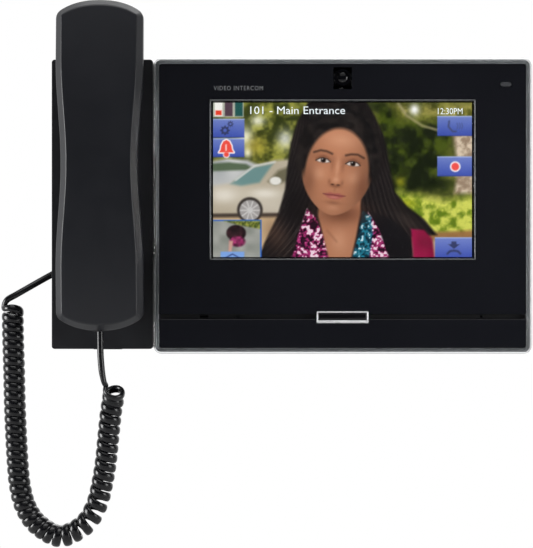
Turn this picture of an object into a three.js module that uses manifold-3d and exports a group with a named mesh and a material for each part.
// Wall-mounted video intercom master station with a touch screen, a talk bar, a tilting camera and a corded
// handset in a side cradle. Millimetres, +Z up, +X to the right as seen by the user. The wall is the plane
// Y = 0 and the front faces -Y. Depths in this file are distances out from the wall, so depth = -Y.
import * as THREE from "three";
import { mergeVertices } from "three/addons/utils/BufferGeometryUtils.js";
import Module from "manifold-3d";

const wasm = await Module();
wasm.setup();

// ---- Driving dimensions -------------------------------------------------------------------------------
const GAP = 0.3; // clearance between pieces that rest on each other
const WALL = 2; // moulded wall thickness

const BODY = { width: 223, height: 174.2, corner: 4.5 };
const RIM = { clear: 1.1, silver: 2.2 };
const PANEL = {
  width: BODY.width - 2 * (RIM.clear + RIM.silver),
  height: BODY.height - 2 * (RIM.clear + RIM.silver),
  corner: 1.6,
};
const DEPTH = {
  back: GAP,
  bracketSeat: 2.2,
  seatInside: 4.2,
  rearFront: 22,
  board: 18.6,
  panelBack: 25.8,
  panelFront: 28.4,
  rimFront: 28.9,
};
const BRACKET = { halfWidth: 75, bottom: -60, top: 55, sheet: 1.2 };
const HOOK = { x: 66, zs: [-45, 30], width: 7, reach: 6.2, lip: 5, lift: 5.5 };
const WINDOW = { halfWidth: 36, bottom: -48, top: -14 }; // cable window in the bracket
const POCKET = { halfWidth: 40, bottom: -56, top: -12, floor: 16.3 };

const SCREEN = { width: 153.4, height: 91.8, z: 15.4 };
const SCREEN_FRAME = { width: SCREEN.width + 3.6, height: SCREEN.height + 2.9, band: 0.8 };
const GROOVE = { top: -63.8, bottom: -66.9 };
const TALK = { width: 30.6, top: -62.2, bottom: -69.2 };
const CAMERA = { z: 75.9, axisDepth: 19.5, barrel: 6, lens: 4.8 };
const CAMERA_WINDOW = { z: 75.3, width: 10.8, height: 13.1 };
const LED = { x: 96.3, z: 71.7, width: 6, height: 2.4 };
const CASE_SCREWS = { x: 103, z: 78.5 };

const CRADLE = {
  left: -172.1,
  right: -112.2,
  bottom: -84.6,
  top: 86.8,
  corner: 1.8,
  split: 11.85,
  front: 22,
};
const JACK = { z: -39.6, depth: 8.4 };
const HANDSET_JACK = { z: -67.4, depth: 44.6, plug: -73.4 };

const HANDSET = {
  x: -142,
  bottomCorner: -65.2,
  topCorner: 111.5,
  endRise: 8.1,
  endHalf: 25.4,
  waistHalf: 22.3,
  waistZ: 24,
  waistReach: 62,
  bevelIn: 3.6,
  bevelDeep: 5.5,
};
// Depths of the handset's back, parting line and front at its ends, and how much further each bows out
// from the wall at mid-length.
const BACK = { end: 38.5, bow: 2.5 };
const SPLIT = { end: 44.6, bow: 4 };
const FRONT = { end: 53, bow: 7 };
const EAR = { z: 93, faceR: 21.5, rootR: 23.6, face: 15 };
const MOUTH = { z: -50, faceR: 19, rootR: 21.5, face: 18 };
const EAR_SEAT = 16.4;
const MOUTH_SEAT = 9.4;
const NOTCH = { r: 23.6, z: 93.6, floor: 14 };
const MOUTH_POCKET = { r: 20.4, rise: 6, floor: 17 };
const PLUNGER = { z: -36.5, r: 4, travel: 4 };
const TAB = { z: 75.2, tiltDeg: 20 }; // the hook tab points the way the handset lifts off

// The curly cord's outer diameter, and the thickness of the flat lead that it is wound from.
const CORD = { coil: 13.2, thick: 2.9 };
const LEAD_TO_COIL = [
  [-172.2, 8.4, -40],
  [-179, 9.4, -43.8],
  [-186.6, 11.4, -48.2],
  [-194, 13.2, -52.5],
  [-199.4, 13.4, -55.6],
  [-201.5, 12.6, -59],
];
const COIL_ROUTE = [
  [-196.3, 11.9, -60.6],
  [-196.1, 12.7, -65],
  [-195.9, 13, -78],
  [-195.3, 13.4, -96],
  [-194.6, 14, -122],
  [-193, 15, -152],
  [-191.2, 15.8, -168],
  [-187.6, 16.8, -179.6],
  [-180.6, 18.2, -189],
  [-168, 20.6, -195.6],
  [-156.5, 23.2, -191.4],
  [-149.6, 25, -185],
  [-144.6, 27, -175],
  [-141.6, 28.8, -163],
  [-139.4, 30.8, -150],
  [-137.9, 33, -136],
  [-136.3, 35.3, -122],
  [-135.3, 36.2, -116],
  [-134.5, 38.2, -111.2],
  [-134, 42.4, -107.4],
];
const LEAD_TO_HANDSET = [
  [-139.4, 43.2, -105],
  [-140.2, 43.5, -101.5],
  [-141.1, 43.9, -96],
  [-141.8, 44.3, -86],
  [-142, 44.6, -73.8],
];

// ---- Materials ----------------------------------------------------------------------------------------
const finish = (color, roughness, metalness = 0, more = {}) =>
  new THREE.MeshStandardMaterial({ color, roughness, metalness, ...more });
const MATERIALS = {
  rearShell: finish(0x17181b, 0.6),
  gloss: finish(0x0b0c0e, 0.12),
  cradle: finish(0x141519, 0.45),
  handset: finish(0x24262b, 0.4),
  clear: finish(0xe8edf0, 0.05, 0, { transparent: true, opacity: 0.35 }),
  silver: finish(0x8a8c90, 0.3, 1),
  chrome: finish(0xd8dadd, 0.12, 1),
  glass: finish(0xdfe6ea, 0.04, 0, { transparent: true, opacity: 0.25 }),
  lcd: finish(0x6f8a5c, 0.3),
  button: finish(0x101113, 0.2),
  led: finish(0x7a7c80, 0.35),
  cord: finish(0x0e0f10, 0.3),
  plug: finish(0x9aa0a4, 0.15, 0, { transparent: true, opacity: 0.6 }),
  board: finish(0x1d4a2a, 0.5),
  steel: finish(0x9a9da0, 0.4, 1),
  part: finish(0x1a1b1d, 0.5),
};

// ---- Solids -------------------------------------------------------------------------------------------
// A closed three.js geometry as a solid that can be joined and cut.
function solidOf(geometry) {
  const bare = geometry.index ? geometry.toNonIndexed() : geometry.clone();
  bare.deleteAttribute("normal");
  bare.deleteAttribute("uv");
  const merged = mergeVertices(bare, 1e-4);
  const triVerts = new Uint32Array(merged.index.array);
  const make = () =>
    new wasm.Manifold(
      new wasm.Mesh({ numProp: 3, vertProperties: merged.attributes.position.array, triVerts }),
    );
  const made = make();
  if (made.volume() >= 0) return made;
  for (let i = 0; i < triVerts.length; i += 3)
    [triVerts[i + 1], triVerts[i + 2]] = [triVerts[i + 2], triVerts[i + 1]];
  return make();
}

function geometryOf(solid) {
  const { numProp, vertProperties, triVerts, numVert } = solid.getMesh();
  const positions = new Float32Array(numVert * 3);
  for (let i = 0; i < numVert; i++)
    positions.set(vertProperties.subarray(i * numProp, i * numProp + 3), i * 3);
  const indexed = new THREE.BufferGeometry()
    .setAttribute("position", new THREE.BufferAttribute(positions, 3))
    .setIndex(new THREE.BufferAttribute(triVerts, 1));
  const flat = indexed.toNonIndexed();
  flat.computeVertexNormals();
  return flat;
}

const join = (first, ...others) => others.reduce((sum, s) => sum.add(s), first);
const cut = (first, ...others) => others.reduce((left, s) => left.subtract(s), first);

// A box between two limits on each axis; depths run out from the wall.
function box([x0, x1], [depth0, depth1], [z0, z1]) {
  const g = new THREE.BoxGeometry(x1 - x0, depth1 - depth0, z1 - z0);
  g.translate((x0 + x1) / 2, -(depth0 + depth1) / 2, (z0 + z1) / 2);
  return solidOf(g);
}

// A round bar that points out from the wall.
function disc(x, z, r, [depth0, depth1], sides = 20, frontR = r) {
  const g = new THREE.CylinderGeometry(r, frontR, depth1 - depth0, sides);
  g.translate(x, -(depth0 + depth1) / 2, z);
  return solidOf(g);
}

// A round bar along X.
function barX([x0, x1], depth, z, r, sides = 16) {
  const g = new THREE.CylinderGeometry(r, r, x1 - x0, sides);
  g.rotateZ(Math.PI / 2);
  g.translate((x0 + x1) / 2, -depth, z);
  return solidOf(g);
}

// A front-view outline, drawn in x and z, given a thickness between two depths.
function prism(shape, [depth0, depth1], curveSegments = 5, bevel = null) {
  const { inward = 0, deep = 0 } = bevel ?? {};
  const g = new THREE.ExtrudeGeometry(shape, {
    depth: depth1 - depth0 - 2 * deep,
    curveSegments,
    bevelEnabled: Boolean(bevel),
    bevelThickness: deep,
    bevelSize: inward,
    bevelOffset: -inward,
    bevelSegments: 1,
  });
  g.rotateX(Math.PI / 2);
  g.translate(0, -(depth0 + deep), 0);
  return solidOf(g);
}

// A side-view outline, drawn as [z, depth] points, given a width between two x values.
function sidePrism(points, [x0, x1]) {
  const shape = new THREE.Shape(points.map(([z, depth]) => new THREE.Vector2(-depth, z)));
  const g = new THREE.ExtrudeGeometry(shape, { depth: x1 - x0, bevelEnabled: false });
  const toSide = new THREE.Matrix4().set(0, 0, 1, x0, 1, 0, 0, 0, 0, 1, 0, 0, 0, 0, 0, 1);
  g.applyMatrix4(toSide);
  return solidOf(g);
}

function roundRect(width, height, r, x = 0, z = 0) {
  const [left, right, bottom, top] = [x - width / 2, x + width / 2, z - height / 2, z + height / 2];
  const shape = new THREE.Shape();
  shape.moveTo(left + r, bottom);
  shape.lineTo(right - r, bottom);
  shape.absarc(right - r, bottom + r, r, -Math.PI / 2, 0, false);
  shape.lineTo(right, top - r);
  shape.absarc(right - r, top - r, r, 0, Math.PI / 2, false);
  shape.lineTo(left + r, top);
  shape.absarc(left + r, top - r, r, Math.PI / 2, Math.PI, false);
  shape.lineTo(left, bottom + r);
  shape.absarc(left + r, bottom + r, r, Math.PI, Math.PI * 1.5, false);
  return shape;
}

function ring(outer, inner, depths) {
  outer.holes.push(inner);
  return prism(outer, depths);
}

function add(group, name, solid, material) {
  const mesh = new THREE.Mesh(geometryOf(solid), material);
  mesh.name = name;
  group.add(mesh);
  return mesh;
}

const station = new THREE.Group();
const cradle = new THREE.Group();
const handset = new THREE.Group();
handset.position.x = HANDSET.x;
const cord = new THREE.Group();
const wallSide = new THREE.Group();
const root = new THREE.Group();
root.add(wallSide, station, cradle, handset, cord);

// ---- Wall bracket -------------------------------------------------------------------------------------
function wallBracket() {
  const { halfWidth, bottom, top, sheet } = BRACKET;
  const slot = (x, z) => prism(roundRect(9, 3.9, 1.9, x, z), [-1, sheet + 1]);
  let plate = prism(roundRect(2 * halfWidth, top - bottom, 3, 0, (top + bottom) / 2), [0, sheet]);
  plate = cut(
    plate,
    box([-WINDOW.halfWidth, WINDOW.halfWidth], [-1, sheet + 1], [WINDOW.bottom, WINDOW.top]),
    slot(-48, 46),
    slot(48, 46),
    slot(-48, -54),
    slot(48, -54),
  );
  for (const side of [-1, 1])
    for (const z of HOOK.zs) {
      const x = [side * HOOK.x - HOOK.width / 2, side * HOOK.x + HOOK.width / 2];
      const stem = box(x, [sheet - 0.5, HOOK.reach], [z - sheet, z]);
      const lip = box(x, [HOOK.reach - sheet, HOOK.reach], [z - sheet, z + HOOK.lip]);
      plate = join(plate, stem, lip);
    }
  add(wallSide, "wall_bracket", plate, MATERIALS.steel);
}

// ---- Main body ----------------------------------------------------------------------------------------
const REAR = { width: BODY.width - 2, height: BODY.height - 2, corner: 3.6 };

function rearCover() {
  const [w, h] = [REAR.width, REAR.height];
  const inside = () => roundRect(w - 2 * WALL, h - 2 * WALL, 2);
  const seatZ = [BRACKET.bottom - HOOK.lift - 1.5, BRACKET.top + 4];
  const seatX = BRACKET.halfWidth + 4;
  const seat = box([-seatX, seatX], [-1, DEPTH.bracketSeat], seatZ);
  const seatBlock = roundRect(
    2 * (seatX + WALL), seatZ[1] - seatZ[0] + 2 * WALL, 1, 0, (seatZ[0] + seatZ[1]) / 2,
  );
  const around = inside();
  around.holes.push(seatBlock);
  const pocketWalls = box(
    [-POCKET.halfWidth - WALL, POCKET.halfWidth + WALL],
    [DEPTH.seatInside - 0.5, POCKET.floor + WALL - GAP],
    [POCKET.bottom - WALL, POCKET.top + WALL],
  );
  let shell = cut(
    prism(roundRect(w, h, REAR.corner), [DEPTH.back, DEPTH.rearFront]),
    prism(inside(), [DEPTH.seatInside, DEPTH.rearFront + 1]),
    prism(around, [DEPTH.back + WALL, DEPTH.seatInside + 1]),
  );
  shell = join(shell, pocketWalls);
  shell = cut(
    shell,
    seat,
    box([-POCKET.halfWidth, POCKET.halfWidth], [-1, POCKET.floor], [POCKET.bottom, POCKET.top]),
    box([-30.4, -13.6], [POCKET.floor - 1, DEPTH.board], [-28.2, POCKET.top - 0.4]),
    box([4.6, 35.4], [POCKET.floor - 1, DEPTH.board], [-24.4, -13.6]),
    box([-w, 10 - w / 2], [5.6, 8.4], [-31, 31]),
  );
  for (const side of [-1, 1]) {
    for (const z of HOOK.zs)
      shell = cut(
        shell,
        box([side * HOOK.x - 4.5, side * HOOK.x + 4.5], [1, DEPTH.seatInside + 1], [z + GAP - 7.6, z + GAP]),
      );
    for (const z of [-CASE_SCREWS.z, CASE_SCREWS.z]) {
      const x = side * CASE_SCREWS.x;
      shell = join(shell, disc(x, z, 5, [DEPTH.back + WALL - 0.5, DEPTH.rearFront - 0.6], 16));
      shell = cut(shell, disc(x, z, 3.3, [-1, 4.5], 16), disc(x, z, 1.7, [4, 23], 10));
    }
  }
  for (let i = -5; i <= 5; i++)
    shell = cut(shell, box([i * 8 - 1.2, i * 8 + 1.2], [-1, DEPTH.back + WALL + 0.4], [64, 80]));
  add(station, "rear_cover", shell, MATERIALS.rearShell);
}

function rim() {
  const trimFront = DEPTH.rimFront - 1.5;
  const back = DEPTH.rearFront + GAP;
  const { width: w, height: h, corner } = BODY;
  const inner = () => roundRect(PANEL.width + 2 * GAP, PANEL.height + 2 * GAP, PANEL.corner);
  const [tw, th] = [w - 2 * RIM.clear, h - 2 * RIM.clear];
  add(
    station, "silver_trim",
    ring(roundRect(tw - 2 * GAP, th - 2 * GAP, corner - RIM.clear), inner(), [back, trimFront]),
    MATERIALS.silver,
  );
  const outline = () => roundRect(w, h, corner);
  const skirt = ring(outline(), roundRect(tw, th, corner - RIM.clear), [back, trimFront + GAP + 0.2]);
  const face = ring(outline(), inner(), [trimFront + GAP, DEPTH.rimFront]);
  add(station, "clear_rim", join(skirt, face), MATERIALS.clear);
}

function frontPanels() {
  const { width: w, height: h, corner } = PANEL;
  const depths = [DEPTH.panelBack, DEPTH.panelFront];
  const whole = () => prism(roundRect(w, h, corner), depths);
  const above = box([-w, w], [20, 35], [GROOVE.top, h]);
  const below = box([-w, w], [20, 35], [-h, GROOVE.bottom]);
  const talkNotch = box(
    [-TALK.width / 2 - GAP, TALK.width / 2 + GAP], [20, 35], [TALK.bottom - GAP, TALK.top + GAP],
  );
  const through = [20, 35];
  const screenHole = prism(
    roundRect(SCREEN_FRAME.width + 2 * GAP, SCREEN_FRAME.height + 2 * GAP, 0.6, 0, SCREEN.z), through,
  );
  const window = CAMERA_WINDOW;
  const cameraHole = prism(roundRect(window.width, window.height, 0.4, 0, window.z), through);
  const ledHole = prism(roundRect(LED.width + 2 * GAP, LED.height + 2 * GAP, 1.2, LED.x, LED.z), through);
  const upper = cut(whole().intersect(above), talkNotch, screenHole, cameraHole, ledHole);
  add(station, "front_panel", upper, MATERIALS.gloss);
  add(station, "lower_panel", cut(whole().intersect(below), talkNotch), MATERIALS.gloss);
}

// The strips in the groove between the two panels, with the microphone openings.
function grooveStrips() {
  const end = PANEL.width / 2 - 0.6;
  const start = TALK.width / 2 + 0.7;
  const z = [GROOVE.bottom + GAP, GROOVE.top - GAP];
  const depths = [22.6, 24.6];
  const mid = (GROOVE.top + GROOVE.bottom) / 2;
  const slot = (x, width) => box([x - width / 2, x + width / 2], [20, 26], [mid - 0.7, mid + 0.7]);
  const left = cut(box([-end, -start], depths, z), slot(-82, 5.3), slot(-62.2, 2.6));
  const right = cut(box([start, end], depths, z), slot(82.2, 1.6));
  add(station, "groove_strip_left", left, MATERIALS.part);
  add(station, "groove_strip_right", right, MATERIALS.part);
}

function microphones() {
  const mid = (GROOVE.top + GROOVE.bottom) / 2;
  for (const [name, x] of [["microphone_left", -82], ["microphone_right", 82.2]])
    add(station, name, disc(x, mid, 3, [18.8, 22.3], 14), MATERIALS.steel);
}

function display() {
  const { width: w, height: h, band } = SCREEN_FRAME;
  const at = (width, height, r = 0.5) => roundRect(width, height, r, 0, SCREEN.z);
  add(
    station, "display_frame",
    ring(at(w, h), at(w - 2 * band, h - 2 * band), [DEPTH.panelBack + 0.1, DEPTH.panelFront + GAP]),
    MATERIALS.chrome,
  );
  const slack = 2 * (band + GAP);
  add(station, "touch_glass", prism(at(w - slack, h - slack), [26, 27.9], 2), MATERIALS.glass);
  add(station, "lcd_panel", prism(at(164, 103), [23.2, 25.4], 2), MATERIALS.lcd);
  const tray = cut(prism(at(166, 105), [20.6, 22.9], 2), prism(at(163, 102), [21.6, 24], 2));
  add(station, "lcd_back_tray", tray, MATERIALS.steel);
}

function boards() {
  const main = cut(
    box([-97, 98], [DEPTH.board, DEPTH.board + 1.6], [-58, 76]),
    box([-12, 12], [10, 30], [62, 80]),
  );
  add(station, "main_board", main, MATERIALS.board);
  add(station, "talk_board", box([-18, 18], [18, 19.2], [-70, -61]), MATERIALS.board);
  // The network socket opens downwards into the wiring pocket, room for a plug and its boot below it.
  const lan = cut(
    box([-30, -14], [4.8, DEPTH.board - GAP], [-27.8, -12.8]),
    box([-27.9, -16.1], [6.8, 14.6], [-28, -16]),
    box([-25, -19], [14, 16.4], [-28, -17]),
  );
  add(station, "network_socket", lan, MATERIALS.steel);
  let block = box([5, 35], [8, DEPTH.board - GAP], [-24, -14]);
  for (let i = 0; i < 6; i++)
    block = cut(block, box([6.4 + i * 4.8, 9.4 + i * 4.8], [7, 13], [-22.4, -18.6]));
  add(station, "terminal_block", block, MATERIALS.board);
}

function talkButton() {
  const { width: w, top, bottom } = TALK;
  const half = w / 2;
  const opening = roundRect(w - 2, 4.4, 0.4, 0, -65.3);
  const bezel = roundRect(w, top - bottom, 0.8, 0, (top + bottom) / 2);
  add(station, "talk_bezel", ring(bezel, opening, [24.9, 29.3]), MATERIALS.chrome);
  const cap = prism(roundRect(w - 2.6, 3.8, 0.3, 0, -65.3), [26.4, 28.8], 3);
  const stem = box([-3, 3], [22.9, 26.6], [-66.3, -64.3]);
  add(station, "talk_button", join(cap, stem), MATERIALS.button);
  const tact = join(box([-3, 3], [19.5, 20.9], [-68.3, -62.3]), disc(0, -65.3, 1.6, [20.8, 21.6], 12));
  add(station, "talk_switch", tact, MATERIALS.part);
  const seat = cut(
    box([-half + 0.2, half - 0.2], [22.4, 24.6], [bottom + 0.2, top - 0.2]),
    box([-3.6, 3.6], [20, 26], [-66.9, -63.7]),
  );
  add(station, "talk_bezel_seat", seat, MATERIALS.part);
}

function cameraUnit() {
  const { z, axisDepth: a, barrel: r } = CAMERA;
  let holder = join(
    box([-8.4, 8.4], [9.5, 11.5], [z - 8, z + 8]),
    box([-8.4, -5.7], [9.5, 24], [z - 4, z + 4]),
    box([5.7, 8.4], [9.5, 24], [z - 4, z + 4]),
  );
  holder = cut(holder, barX([-12, 12], a, z, 1.4));
  add(station, "camera_holder", holder, MATERIALS.part);
  let body = join(
    barX([-5, 5], a, z, r, 24),
    barX([-7.6, 7.6], a, z, 1, 12),
    disc(0, z, CAMERA.lens, [a, 26.9], 28),
    box([-5.1, 5.1], [a, 26.2], [z - 3, z - 2.5]),
  );
  body = cut(
    body,
    disc(0, z, 3.7, [25.2, 28], 24),
    box([-3.8, 3.8], [12, 15.5], [z - 3.8, z + 3.8]),
  );
  add(station, "camera_barrel", body, MATERIALS.part);
  const dome = [[0, 0], [3.3, 0], [3.3, 0.5], [2.6, 0.9], [1.4, 1.25], [0, 1.4]];
  const lathe = new THREE.LatheGeometry(dome.map(([x, y]) => new THREE.Vector2(x, y)), 24);
  lathe.rotateX(Math.PI);
  lathe.translate(0, -25.5, z);
  add(station, "camera_lens", solidOf(lathe), MATERIALS.glass);
  add(station, "image_sensor", box([-3.4, 3.4], [13.9, 15.2], [z - 3.4, z + 3.4]), MATERIALS.board);
}

function speaker() {
  const at = (width, height, r) => roundRect(width, height, r, 55, -75.2);
  const frame = ring(at(56, 14, 6.9), at(48, 9, 4.4), [15, 21]);
  add(station, "speaker_frame", frame, MATERIALS.part);
  add(station, "speaker_cone", prism(at(47.2, 8.2, 4), [17.5, 19.5]), MATERIALS.cord);
  add(station, "speaker_magnet", disc(55, -75.2, 5.4, [10, 14.7], 20), MATERIALS.steel);
}

function statusLed() {
  const depths = [DEPTH.panelBack - 5, DEPTH.panelFront + 0.1];
  const lens = prism(roundRect(LED.width, LED.height, 1.1, LED.x, LED.z), depths);
  add(station, "status_light", lens, MATERIALS.led);
}

function pillScrew(group, name, x, z, head, length) {
  const screw = join(disc(0, 0, 2.9, [0, 1.9], 14), disc(0, 0, 1.35, [1.8, length], 10));
  const recess = join(box([-1.7, 1.7], [-1, 1], [-0.4, 0.4]), box([-0.4, 0.4], [-1, 1], [-1.7, 1.7]));
  const mesh = add(group, name, cut(screw, recess), MATERIALS.steel);
  mesh.position.set(x, -head, z);
}

function caseScrews() {
  let n = 1;
  for (const x of [-CASE_SCREWS.x, CASE_SCREWS.x])
    for (const z of [-CASE_SCREWS.z, CASE_SCREWS.z]) pillScrew(station, `case_screw_${n++}`, x, z, 2.3, 17);
}

// ---- Cradle -------------------------------------------------------------------------------------------
const cradleWidth = CRADLE.right - CRADLE.left;
const cradleHeight = CRADLE.top - CRADLE.bottom;
const cradleX = (CRADLE.right + CRADLE.left) / 2;
const cradleZ = (CRADLE.top + CRADLE.bottom) / 2;
const CRADLE_SCREW_ZS = [58, -74];

function cradleOutline(inset = 0) {
  const r = Math.max(0.4, CRADLE.corner - inset);
  return roundRect(cradleWidth - 2 * inset, cradleHeight - 2 * inset, r, cradleX, cradleZ);
}

function cradleBase() {
  const front = CRADLE.split - GAP / 2;
  let shell = cut(
    prism(cradleOutline(), [DEPTH.back, front]),
    prism(cradleOutline(WALL), [DEPTH.back + WALL, front + 1]),
  );
  const lug = box([-148.1, -131.2], [3, 9], [CRADLE.bottom - 0.6, CRADLE.bottom + 1]);
  shell = join(shell, lug);
  for (const z of CRADLE_SCREW_ZS) {
    shell = join(shell, disc(cradleX, z, 5, [1.8, front], 16));
    shell = cut(shell, disc(cradleX, z, 3.3, [-1, 4.5], 16), disc(cradleX, z, 1.7, [4, 23], 10));
  }
  shell = cut(
    shell,
    box([-180, -165], [JACK.depth - 3.1, JACK.depth + 3.1], [JACK.z - 4.2, JACK.z + 4.2]),
    box([-118, -100], [5.6, 8.4], [-31, 31]),
  );
  add(cradle, "cradle_base", shell, MATERIALS.cradle);
}

function pocketOutline(r) {
  const shape = new THREE.Shape();
  shape.absarc(HANDSET.x, MOUTH.z, r, Math.PI, 2 * Math.PI, false);
  shape.absarc(HANDSET.x, MOUTH.z + MOUTH_POCKET.rise, r, 0, Math.PI, false);
  return shape;
}

function cradleCover() {
  const back = CRADLE.split + GAP / 2;
  const footprint = prism(cradleOutline(), [back, CRADLE.front]);
  const hollow = prism(cradleOutline(WALL), [back - 1, CRADLE.front - WALL]);
  const notchBlock = disc(HANDSET.x, NOTCH.z, NOTCH.r + WALL, [back, CRADLE.front - 1], 40);
  const notchWall = notchBlock.intersect(footprint);
  let cover = join(
    cut(footprint, hollow),
    notchWall,
    prism(pocketOutline(MOUTH_POCKET.r + WALL), [MOUTH_POCKET.floor - WALL, CRADLE.front - 1], 12),
  );
  cover = cut(
    cover,
    disc(HANDSET.x, NOTCH.z, NOTCH.r, [NOTCH.floor, CRADLE.front + 1], 40),
    prism(pocketOutline(MOUTH_POCKET.r), [MOUTH_POCKET.floor, CRADLE.front + 1], 12),
    disc(HANDSET.x, PLUNGER.z, PLUNGER.r + 0.4, [10, 20], 20),
    box([HANDSET.x - 6.3, HANDSET.x + 6.3], [13, 15], [72.4, 80.3]),
  );
  add(cradle, "cradle_cover", cover, MATERIALS.cradle);
}

// The tab that keeps the handset on the wall cradle: a foot in the notch floor and a tongue that points up
// and out, the way the handset comes off.
function hookTab() {
  const foot = box([-6, 6], [13.3, 14], [72.7, 80]);
  const g = new THREE.BoxGeometry(6, 6.4, 1.4);
  g.translate(0, -3.2, 0);
  g.rotateX(THREE.MathUtils.degToRad(-TAB.tiltDeg));
  g.translate(0, -13.5, TAB.z - 1);
  const tongue = solidOf(g);
  const mesh = add(cradle, "hook_tab", join(foot, tongue), MATERIALS.part);
  mesh.position.x = HANDSET.x;
}

function hookSwitch() {
  const { r, z } = PLUNGER;
  const plunger = join(disc(0, z, r, [7, 17.7], 20), disc(0, z, r + 1.6, [9, 10.5], 20));
  add(cradle, "hook_plunger", plunger, MATERIALS.button).position.x = HANDSET.x;
  const body = join(box([-8, 8], [2.6, 5.6], [z - 5, z + 5]), box([-2, 2], [5.5, 6.6], [z - 1.5, z + 1.5]));
  add(cradle, "hook_micro_switch", body, MATERIALS.part).position.x = HANDSET.x;
}

// A modular handset socket and its plug, built with the cord leaving along -X at the origin.
function socket(depthHalf, widthHalf) {
  return cut(
    box([0, 15], [-depthHalf, depthHalf], [-widthHalf, widthHalf]),
    box([-1, 13], [-3, 3], [-4.1, 4.1]),
  );
}

function plug() {
  const body = box([0, 11.6], [-2.7, 2.7], [-3.8, 3.8]);
  const contacts = [-2, -0.7, 0.7, 2].map((z) => box([8.4, 12], [-3, -1.2], [z - 0.3, z + 0.3]));
  return cut(body, ...contacts);
}

function cradleJack() {
  const jack = add(cradle, "cradle_socket", socket(4.6, 5.6), MATERIALS.part);
  jack.position.set(CRADLE.left + WALL + GAP, -JACK.depth, JACK.z);
  const end = add(cord, "cradle_plug", plug(), MATERIALS.plug);
  end.position.set(CRADLE.left + 0.7, -JACK.depth, JACK.z);
}

function cradleLink() {
  const link = box([-124, -101.6], [6, 8], [-30, 30]);
  add(cradle, "cradle_link", link, MATERIALS.steel);
}

function cradleScrews() {
  CRADLE_SCREW_ZS.forEach((z, i) => pillScrew(cradle, `cradle_screw_${i + 1}`, cradleX, z, 2.3, 9.4));
}

// ---- Handset, in its own frame with x = 0 on its centre line ------------------------------------------
function handsetHalfWidth(z) {
  const { endHalf, waistHalf, waistZ, waistReach } = HANDSET;
  const t = Math.min(1, Math.abs(z - waistZ) / waistReach);
  return endHalf - ((endHalf - waistHalf) * (1 + Math.cos(Math.PI * t))) / 2;
}

// The outline seen from the front: two waisted sides closed by shallow arcs, as [x, z] points.
function handsetOutline(inset = 0) {
  const { bottomCorner, topCorner, endRise } = HANDSET;
  const sideSteps = 14;
  const arcSteps = 8;
  const [z0, z1] = [bottomCorner + inset * 0.4, topCorner - inset * 0.4];
  const right = [];
  for (let i = 0; i <= sideSteps; i++) {
    const z = z0 + ((z1 - z0) * i) / sideSteps;
    right.push([handsetHalfWidth(z) - inset, z]);
  }
  const arc = (z, sign) => {
    const half = handsetHalfWidth(z) - inset;
    const rise = endRise - inset * 0.6;
    const points = [];
    for (let i = 1; i < arcSteps; i++) {
      const t = 1 - (2 * i) / arcSteps;
      points.push([sign * half * t, z + sign * rise * (1 - 0.72 * t ** 2 - 0.28 * t ** 4)]);
    }
    return points;
  };
  const left = right.map(([x, z]) => [-x, z]).reverse();
  return [...right, ...arc(z1, 1), ...left, ...arc(z0, -1)];
}

// Seen from the side, each surface is a shallow bow.
function bowed({ end, bow }, z) {
  const low = HANDSET.bottomCorner - HANDSET.endRise;
  const high = HANDSET.topCorner + HANDSET.endRise;
  const t = (2 * z - low - high) / (high - low);
  return end + bow * (1 - t * t);
}

function bowLine(surface, shift = 0) {
  const steps = 18;
  const [z0, z1] = [-85, 131];
  return Array.from({ length: steps + 1 }, (_, i) => {
    const z = z0 + ((z1 - z0) * i) / steps;
    return [z, bowed(surface, z) + shift];
  });
}

// Everything nearer the wall than the bowed parting line.
const behindSplit = (shift) => sidePrism([...bowLine(SPLIT, shift), [131, 0], [-85, 0]], [-40, 40]);

// Rings of [x, depth, z] points with equal counts, joined into a closed solid.
function stack(rings) {
  const positions = [];
  const triangle = (...corners) => corners.forEach(([x, depth, z]) => positions.push(x, -depth, z));
  const count = rings[0].length;
  for (let k = 0; k + 1 < rings.length; k++)
    for (let i = 0; i < count; i++) {
      const j = (i + 1) % count;
      triangle(rings[k][i], rings[k + 1][j], rings[k + 1][i]);
      triangle(rings[k][i], rings[k][j], rings[k + 1][j]);
    }
  const outline = (ring) => ring.map(([x, , z]) => new THREE.Vector2(x, z));
  const [first, last] = [rings[0], rings[rings.length - 1]];
  for (const [a, b, c] of THREE.ShapeUtils.triangulateShape(outline(last), []))
    triangle(last[a], last[b], last[c]);
  for (const [a, b, c] of THREE.ShapeUtils.triangulateShape(outline(first), []))
    triangle(first[a], first[c], first[b]);
  const geometry = new THREE.BufferGeometry();
  return solidOf(geometry.setAttribute("position", new THREE.Float32BufferAttribute(positions, 3)));
}

// The handset's outer form shrunk by the given amount all round, with its front edge bevelled.
function handsetBlank(shrink = 0) {
  const { bevelIn, bevelDeep } = HANDSET;
  const beyond = 1.4;
  const level = (inset, depthAt) => handsetOutline(shrink + inset).map(([x, z]) => [x, depthAt(z), z]);
  const body = stack([
    level(0, () => BACK.end - 5),
    level(0, (z) => bowed(FRONT, z) - shrink - bevelDeep),
    level(bevelIn * beyond, (z) => bowed(FRONT, z) - shrink + bevelDeep * (beyond - 1)),
    level(bevelIn * beyond, () => FRONT.end + FRONT.bow + 5),
  ]);
  const side = [...bowLine(FRONT, -shrink), ...bowLine(BACK, shrink).reverse()];
  return body.intersect(sidePrism(side, [-40, 40]));
}

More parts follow.
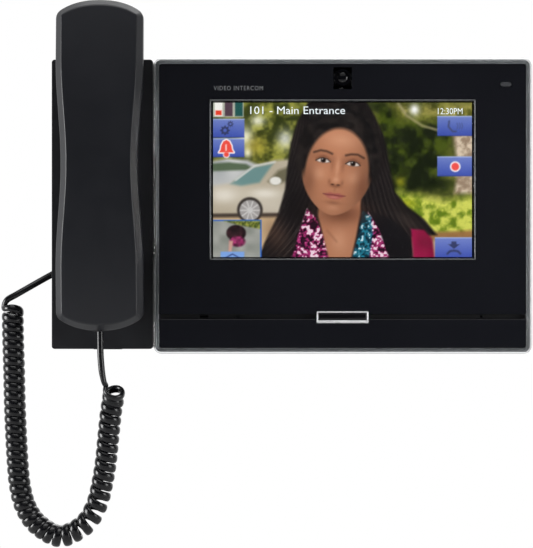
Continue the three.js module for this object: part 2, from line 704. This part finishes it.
function handsetShells() {
  const inside = handsetBlank(WALL);
  const plugHole = box([-4.1, 4.1], [HANDSET_JACK.depth - 3.1, HANDSET_JACK.depth + 3.1], [-80, -60]);
  const outer = cut(handsetBlank(), inside, behindSplit(GAP / 2), plugHole);
  add(handset, "handset_outer_shell", outer, MATERIALS.handset);

  const root = BACK.end + 2.4;
  const cup = ({ z, faceR, rootR, face }) => disc(0, z, faceR, [face, root], 36, rootR);
  const well = ({ z, faceR, face }) => disc(0, z, faceR - WALL, [face + WALL, root + 3], 28);
  const neck = (points) => sidePrism(points, [-11, 11]);
  const [earBack, mouthBack] = [EAR.face + 6, MOUTH.face + 5];
  let inner = join(
    handsetBlank().intersect(behindSplit(-GAP / 2)),
    cup(EAR),
    cup(MOUTH),
    neck([[80, root], [50, root], [58, root - 3], [66, root - 9], [74, earBack], [80, earBack]]),
    neck([[-40, root], [-10, root], [-18, root - 3], [-25, root - 9], [-32, mouthBack], [-40, mouthBack]]),
  );
  const slot = [[TAB.z - 2.4, EAR.face - 1], [TAB.z + 1.2, EAR.face - 1], [TAB.z + 2.6, 18], [TAB.z - 1, 18]];
  inner = cut(
    inner,
    inside,
    well(EAR),
    well(MOUTH),
    disc(0, EAR.z, EAR_SEAT, [EAR.face - 1, EAR.face + WALL + 1], 40),
    disc(0, MOUTH.z, MOUTH_SEAT, [MOUTH.face - 1, MOUTH.face + WALL + 1], 28),
    sidePrism(slot, [-3.8, 3.8]),
    plugHole,
  );
  add(handset, "handset_inner_shell", inner, MATERIALS.handset);
}

// A round cap with sound holes, one in the middle and one ring around it.
function soundCap(name, z, r, face, ringR, holes, holeR) {
  let cap = disc(0, z, r, [face + 0.2, face + 2], 48);
  cap = cut(cap, disc(0, z, holeR, [face - 1, face + 4], 12));
  for (let i = 0; i < holes; i++) {
    const a = (2 * Math.PI * i) / holes;
    cap = cut(cap, disc(ringR * Math.cos(a), z + ringR * Math.sin(a), holeR, [face - 1, face + 4], 12));
  }
  add(handset, name, cap, MATERIALS.handset);
}

function handsetInsides() {
  const capsule = disc(0, EAR.z, 15, [EAR.face + 2.6, EAR.face + 10], 24);
  const microphone = disc(0, MOUTH.z, 5, [MOUTH.face + 2.6, MOUTH.face + 7], 16);
  add(handset, "receiver_capsule", capsule, MATERIALS.steel);
  add(handset, "handset_microphone", microphone, MATERIALS.steel);
  add(handset, "handset_weight", box([-13, 13], [45.4, 50.4], [-4, 46]), MATERIALS.steel);
  const jack = add(handset, "handset_socket", socket(3.7, 5.4), MATERIALS.part);
  jack.rotation.y = -Math.PI / 2;
  jack.position.set(0, -HANDSET_JACK.depth, HANDSET_JACK.z);
  const end = add(cord, "handset_plug", plug(), MATERIALS.plug);
  end.rotation.y = -Math.PI / 2;
  end.position.set(HANDSET.x, -HANDSET_JACK.depth, HANDSET_JACK.plug);
}

// ---- Cord ---------------------------------------------------------------------------------------------
// A tube along a route of [x, depth, z] points, with flats that touch the round of the given radius.
function tube(route, round, sides, steps) {
  const radius = round / Math.cos(Math.PI / sides);
  const path = new THREE.CatmullRomCurve3(route.map(([x, depth, z]) => new THREE.Vector3(x, -depth, z)));
  const section = new THREE.Shape();
  for (let i = 0; i < sides; i++) {
    const a = (2 * Math.PI * i) / sides;
    const [u, v] = [radius * Math.cos(a), radius * Math.sin(a)];
    if (i) section.lineTo(u, v);
    else section.moveTo(u, v);
  }
  return solidOf(new THREE.ExtrudeGeometry(section, { steps, extrudePath: path, bevelEnabled: false }));
}

function handsetCord() {
  const [lead, coil] = [CORD.thick / 2, CORD.coil / 2];
  add(cord, "cord_lead_cradle", tube(LEAD_TO_COIL, lead, 8, 12), MATERIALS.cord);
  add(cord, "cord_coil", tube(COIL_ROUTE, coil, 12, 32), MATERIALS.cord);
  add(cord, "cord_lead_handset", tube(LEAD_TO_HANDSET, lead, 8, 10), MATERIALS.cord);
}

wallBracket();
rearCover();
rim();
frontPanels();
grooveStrips();
microphones();
display();
boards();
talkButton();
cameraUnit();
speaker();
statusLed();
caseScrews();
cradleBase();
cradleCover();
hookTab();
hookSwitch();
cradleJack();
cradleLink();
cradleScrews();
handsetShells();
soundCap("ear_cap", EAR.z, 16, EAR.face, 8, 8, 1.2);
soundCap("mouth_cap", MOUTH.z, 9, MOUTH.face, 5, 6, 0.9);
handsetInsides();
handsetCord();

export default root;
